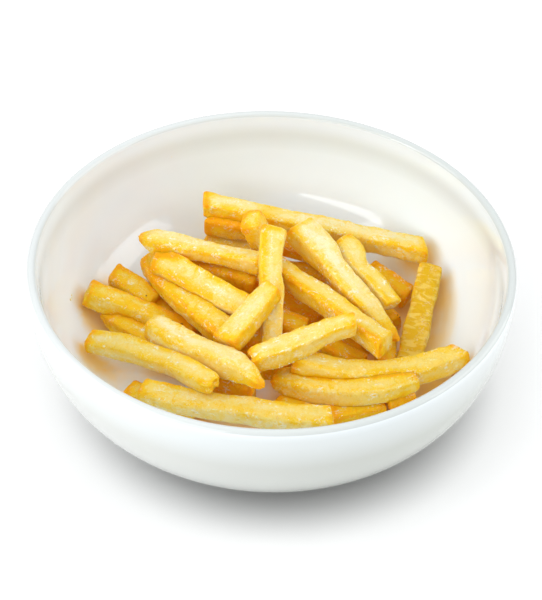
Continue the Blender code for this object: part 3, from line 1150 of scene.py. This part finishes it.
@dataclass(frozen=True)
class Marks:
    """Loose bits laid at chosen places: (x, y, z, size, how many, how far they stray), in millimetres."""

    name: str
    places: tuple
    seed: int
    flat: float = 0.45

    def build(self, ground: bpy.types.Object, material: bpy.types.Material) -> bpy.types.Object:
        """Lay the bits on the nearest surface.

        Args:
            ground: What they lie on.
            material: Their finish.

        Returns:
            The bits as one mesh object.
        """
        tree = BVHTree.FromObject(ground, bpy.context.evaluated_depsgraph_get())
        rng = random.Random(self.seed)
        joined = bmesh.new()
        for x, y, z, size, count, stray in self.places:
            for _ in range(count):
                off = Vector((rng.gauss(0, stray), rng.gauss(0, stray), rng.gauss(0, stray)))
                spot, normal, _, _ = tree.find_nearest((Vector((x, y, z)) + off) * MM)
                half = size * MM * rng.uniform(0.35, 0.65)
                lie = normal.to_track_quat("Z", "Y").to_matrix().to_4x4()
                spin = Matrix.Rotation(rng.uniform(0, math.tau), 4, "Z")
                shape = Matrix.Diagonal((half, half * rng.uniform(0.5, 0.9), half * self.flat, 1.0))
                place = Matrix.Translation(spot + normal * half * self.flat * 0.3) @ lie @ spin @ shape
                ball = bmesh.ops.create_icosphere(joined, subdivisions=2, radius=1.0)["verts"]
                lump = rng.uniform(0, 50)
                for vertex in ball:
                    vertex.co *= 1 + 0.35 * noise.noise(vertex.co * 1.4 + Vector((lump, 0, 0)))
                    vertex.co = place @ vertex.co
        mesh = bpy.data.meshes.new(self.name)
        joined.to_mesh(mesh)
        joined.free()
        mesh.shade_smooth()
        return add_object(self.name, mesh, material)


BURNT = Marks(
    "burnt_marks",
    (
        (-53.4, 18.1, 24, 0.9, 1, 0.3), (-14.1, 46.9, 42, 0.5, 2, 0.6), (0.7, 38.8, 48, 0.7, 4, 1.5),
        (24.0, -8.4, 38, 0.6, 2, 0.6), (29.3, -10.4, 40, 0.6, 2, 0.6), (55.4, 14.9, 18, 1.0, 2, 0.8),
        (-40.2, 4.5, 24, 1.1, 5, 1.6), (-22, -9, 25, 1.2, 2, 0.6),
    ),
    51,
    flat=0.35,
)
CRUMBS_ON_BOWL = Marks(
    "bowl_crumbs",
    (
        (-80, 14, 30, 1.1, 3, 1.2), (59, -43.5, 30, 1.1, 3, 1.2), (62, -38, 30, 0.7, 2, 1.5),
        (-42, 76, 50, 0.4, 1, 0.1), (-66, -36, 20, 0.8, 2, 2.0),
    ),
    53,
)


@dataclass
class Core:
    """A low uneven mound of browned scraps that fills the gaps low in the heap, coloured deep amber partly as
    painted shade in the gaps. Sizes in millimetres.
    """

    middle: tuple = (2.0, 14.0)
    reach: tuple = (43.0, 33.0)
    height: float = 7.5
    sink: float = 0.4

    def build(self, finish: FriedSkin, bowl: Bowl) -> bpy.types.Object:
        """Raise the mound from the bowl's floor.

        Args:
            finish: Its skin.
            bowl: The bowl that it lies in, for its floor.

        Returns:
            The piece.
        """
        rings, turns = 34, 120
        points, faces = [], []
        for ring in range(rings + 1):
            share = ring / rings
            for turn in range(turns):
                angle = 2 * math.pi * turn / turns
                edge = 1 + 0.12 * noise.noise(Vector((math.cos(angle) * 1.5, math.sin(angle) * 1.5, 4.0)))
                x = self.middle[0] + self.reach[0] * share * edge * math.cos(angle)
                y = self.middle[1] + self.reach[1] * share * edge * math.sin(angle)
                place = Vector((x, y, 0)) / 6.0
                lump = 0.5 + 0.5 * noise.noise(place) + 0.3 * noise.noise(place * 2.7)
                rise = self.height * (1 - share**3) * (0.45 + 0.55 * lump)
                floor = bowl.floor_at(math.hypot(x, y)) - self.sink
                points.append((x * MM, y * MM, (floor + rise) * MM))
        for ring in range(rings):
            for turn in range(turns):
                a, b = ring * turns + turn, ring * turns + (turn + 1) % turns
                faces.append((a, a + turns, b + turns, b))
        base = len(points)
        low = bowl.floor_at(0.0) - 2 * self.sink
        points.append((self.middle[0] * MM, self.middle[1] * MM, low * MM))
        rim = rings * turns
        faces += [(base, rim + (turn + 1) % turns, rim + turn) for turn in range(turns)]
        mesh = bpy.data.meshes.new("core_mound")
        mesh.from_pydata(points, [], faces)
        mesh.validate()
        grain = mesh.attributes.new("grain", "FLOAT_VECTOR", "POINT")
        grain.data.foreach_set("vector", np.array(points, dtype=np.float32).ravel())
        skin = mesh.attributes.new("skin", "FLOAT_COLOR", "POINT")
        # Tone 2 gives the deepest amber: browned scraps, and in part painted shade for the gaps low in the
        # heap.
        skin.data.foreach_set("color", np.tile(np.array((2.0, 0, 0, 0.2), np.float32), len(points)))
        mesh.attributes.new("facing_shade", "FLOAT", "POINT")
        mesh.attributes.new("nook_shade", "FLOAT", "POINT")
        mesh.update()
        mesh.shade_smooth()
        return add_object("core_scraps", mesh, finish.make())


# ---------------------------------------------------------------- stage


@dataclass
class Studio:
    """Pale floor, soft lamps and the camera."""

    camera_distance: float = 0.8
    camera_elevation: float = 41.14
    aim_below: float = 1.263
    roll: float = 1.49
    lens: float = 117.55
    diffuse_bounces: int = 8

    def floor(self) -> None:
        """A wide pale floor, with a painted shadow where the bowl stands."""
        pen = Shader("pale_floor")
        shade = pen.stretch(pen.noise(pen.place(), 60, 2), 0.3, 0.7)
        colour = pen.mix(shade, (0.94, 0.94, 0.94, 1), (0.95, 0.95, 0.95, 1))
        # Painted shadow: under the bowl the floor falls to 43 % of its colour, back to full 97 mm from the
        # middle.
        length = pen.node("ShaderNodeVectorMath", operation="LENGTH")
        pen.link(pen.place((1, 1, 0), (-0.004, 0.004, 0)), length.inputs[0])
        under = pen.stretch(length.outputs["Value"], 0.064, 0.097, 0.43, 1.0)
        colour = pen.mix(under, (0.0, 0.0, 0.0, 1), colour)
        pen.link(colour, pen.surface.inputs["Base Color"])
        pen.surface.inputs["Roughness"].default_value = 0.6
        mesh = bpy.data.meshes.new("floor")
        reach = 3.0
        corners = [(-reach, -reach, 0), (reach, -reach, 0), (reach, reach, 0), (-reach, reach, 0)]
        mesh.from_pydata(corners, [], [(0, 1, 2, 3)])
        add_object("floor", mesh, pen.material)

    def lamp(
        self, name: str, azimuth: float, elevation: float, distance: float, size: tuple, power: float
    ) -> None:
        """A soft rectangular lamp aimed at the bowl.

        Args:
            name: Its name.
            azimuth: Degrees from +Y towards +X.
            elevation: Degrees above the floor.
            distance: Metres from the bowl.
            size: Width and height in metres.
            power: Watts.
        """
        data = bpy.data.lights.new(name, "AREA")
        data.shape = "RECTANGLE"
        data.size, data.size_y = size
        data.energy = power
        lamp = bpy.data.objects.new(name, data)
        bpy.context.scene.collection.objects.link(lamp)
        turn, rise = math.radians(azimuth), math.radians(elevation)
        away = Vector((math.sin(turn) * math.cos(rise), math.cos(turn) * math.cos(rise), math.sin(rise)))
        lamp.location = Vector((0, 0, 0.04)) + away * distance
        lamp.rotation_euler = away.to_track_quat("Z", "Y").to_euler()

    def lights(self) -> None:
        """The lamps and the room's light, brighter overhead than at the sides."""
        self.lamp("key_right", 86, 24, 1.1, (1.0, 0.78), 4.3)
        self.lamp("fill_left", -102, 34, 1.2, (0.8, 0.62), 3.4)
        self.lamp("strip_front_left", -136, 22, 1.2, (1.2, 0.40), 4.2)
        self.lamp("overhead", 10, 80, 1.3, (0.9, 0.9), 0.9)
        world = bpy.data.worlds.new("room")
        world.use_nodes = True
        tree = world.node_tree
        place = tree.nodes.new("ShaderNodeTexCoord")
        parts = tree.nodes.new("ShaderNodeSeparateXYZ")
        rise = tree.nodes.new("ShaderNodeMapRange")
        tree.links.new(place.outputs["Generated"], parts.inputs[0])
        tree.links.new(parts.outputs["Z"], rise.inputs["Value"])
        for name, number in (("From Min", 0.03), ("From Max", 0.40), ("To Min", 0.17), ("To Max", 0.98)):
            rise.inputs[name].default_value = number
        tree.nodes["Background"].inputs["Color"].default_value = (0.98, 0.99, 1.0, 1)
        tree.links.new(rise.outputs["Result"], tree.nodes["Background"].inputs["Strength"])
        bpy.context.scene.world = world

    def camera(self) -> None:
        """The camera, looking down at the bowl from the front."""
        data = bpy.data.cameras.new("camera")
        data.lens = self.lens
        data.sensor_width = 36.0
        data.clip_start = 0.01
        camera = bpy.data.objects.new("camera", data)
        bpy.context.scene.collection.objects.link(camera)
        rise = math.radians(self.camera_elevation)
        target = Vector((0, 0, 64 * MM))
        place = target + Vector((0, -math.cos(rise), math.sin(rise))) * self.camera_distance
        tilt = math.pi / 2 - rise - math.radians(self.aim_below)
        turn = Matrix.Rotation(tilt, 4, "X") @ Matrix.Rotation(math.radians(self.roll), 4, "Z")
        camera.matrix_world = Matrix.Translation(place) @ turn
        bpy.context.scene.camera = camera

    def build(self) -> None:
        """Set the whole stage."""
        self.floor()
        self.lights()
        self.camera()
        view = bpy.context.scene.view_settings
        view.view_transform = "Standard"
        view.look = "None"
        bpy.context.scene.cycles.diffuse_bounces = self.diffuse_bounces


def main() -> None:
    """Build the portion, piece by piece."""
    logging.basicConfig(level=logging.INFO, format="%(name)s: %(message)s")
    Studio().build()
    bowl_maker = Bowl()
    bowl = bowl_maker.build(Glaze())
    heap = Heap(ALL_FRIES, FryMaker()).build(FriedSkin())
    bowl_maker.tint(bowl, heap)
    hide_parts("bowl")
    hand_over(bowl)
    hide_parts("fries")
    hand_over(heap)
    for scatter, finish in (
        (Scatter("salt", 2500, 0.35, 0.65, 11, flat=0.8), Crystal()),
        (Scatter("crumbs", 350000, 0.35, 1.0, 23, flat=0.5, edge_share=1.0), Flake()),
        (Scatter("specks", 700, 0.4, 0.9, 37, flat=0.35), Char()),
    ):
        hand_over(scatter.build(heap, finish.make()))
    for marks, ground, finish in ((BURNT, heap, Char()), (CRUMBS_ON_BOWL, bowl, Flake())):
        hand_over(marks.build(ground, finish.make()))
    core = Core().build(FriedSkin("core_skin"), bowl_maker)
    hand_over(core)


if __name__ == "__main__":
    main()
